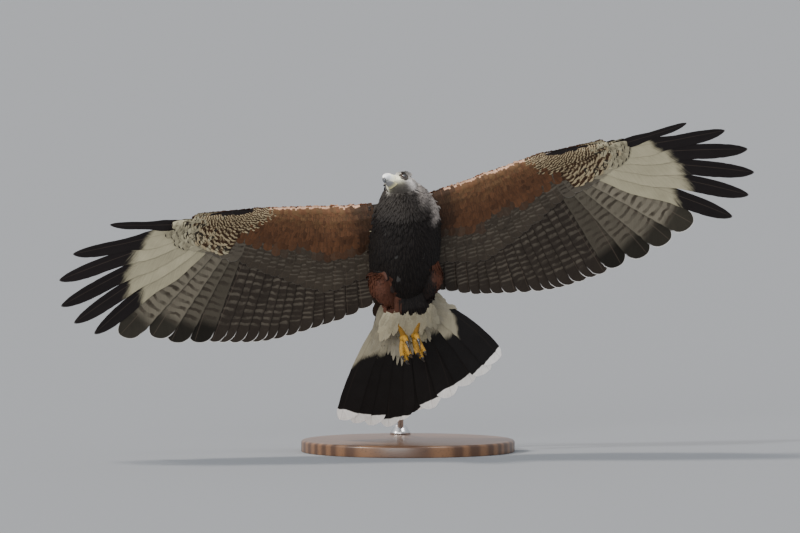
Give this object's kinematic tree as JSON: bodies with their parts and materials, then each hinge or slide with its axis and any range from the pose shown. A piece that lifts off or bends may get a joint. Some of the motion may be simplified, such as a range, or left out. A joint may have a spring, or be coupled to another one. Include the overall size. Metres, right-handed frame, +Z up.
{
  "type": "harris hawk soaring bird model on display stand",
  "caption": "Soaring harris hawk with spread wings and fanned tail, held by a slanted rod on a round base.",
  "frame": {"origin": "centre of the underside of the round base", "axes": "+X along the spread wings towards the bird's left wing, +Y away from the side the bird's belly faces, +Z up"},
  "size_m": [1.0705, 0.4001, 0.5097],
  "materials": {
    "plumage_dark": "soft matt feathers",
    "plumage_head": "soft matt feathers",
    "plumage_wing": "barred feathers with a faint sheen",
    "plumage_tail": "dark feathers with white tips",
    "plumage_thigh": "soft matt feathers",
    "skin_yellow": "scaly yellow skin",
    "horn": "blue-grey horn, dark at the tip",
    "claws": "polished black horn",
    "eyes": "wet dark brown eye",
    "base_wood": "satin varnished walnut",
    "rod_steel": "brushed steel"
  },
  "bodies": {
    "root": {"bill_lower": "horn", "bill_upper": "horn", "cere": "skin_yellow", "claw_left_1": "claws", "claw_left_2": "claws", "claw_left_3": "claws", "claw_left_4": "claws", "claw_right_1": "claws", "claw_right_2": "claws", "claw_right_3": "claws", "claw_right_4": "claws", "eye_left": "eyes", "eye_right": "eyes", "foot_left": "skin_yellow", "foot_right": "skin_yellow", "head": "plumage_head", "neck": "plumage_head", "stand_base": "base_wood", "stand_rod": "rod_steel", "stand_socket": "rod_steel", "tail": "plumage_tail", "tarsus_left": "skin_yellow", "tarsus_right": "skin_yellow", "thigh_left": "plumage_thigh", "thigh_right": "plumage_thigh", "torso": "plumage_dark", "wing_left_forearm": "plumage_wing", "wing_left_hand": "plumage_wing", "wing_left_upper_arm": "plumage_wing", "wing_right_forearm": "plumage_wing", "wing_right_hand": "plumage_wing", "wing_right_upper_arm": "plumage_wing"}
  },
  "joints": []
}
